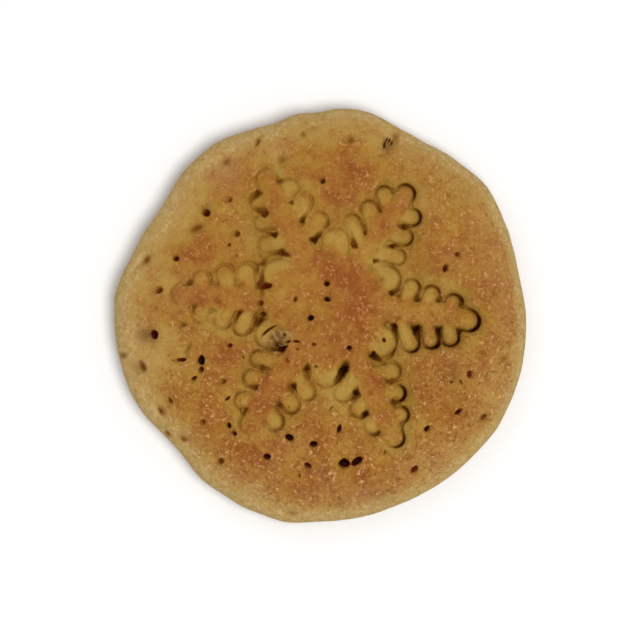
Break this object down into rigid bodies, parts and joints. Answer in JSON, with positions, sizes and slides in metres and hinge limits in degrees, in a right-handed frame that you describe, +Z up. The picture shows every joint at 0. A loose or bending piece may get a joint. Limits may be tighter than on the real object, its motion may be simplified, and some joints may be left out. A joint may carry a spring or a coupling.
{
  "type": "date-filled cookie",
  "caption": "Round flat baked cookie filled with date paste, its browned top pressed with a leafy snowflake outline and pricked all over.",
  "frame": {"origin": "middle of the outline's bounding box, on the flat baked base", "axes": "+Z up through the stamped top; +Y is the top edge of the reference view and +X its right edge"},
  "size_m": [0.0806, 0.081, 0.0134],
  "materials": {
    "baked_dough": "baked short dough, golden with browned patches, soft low sheen",
    "date_filling": "dark brown date paste, sticky with a soft gloss, seen only down the pricks and the tear"
  },
  "bodies": {
    "root": {"cookie": "baked_dough"}
  },
  "joints": []
}
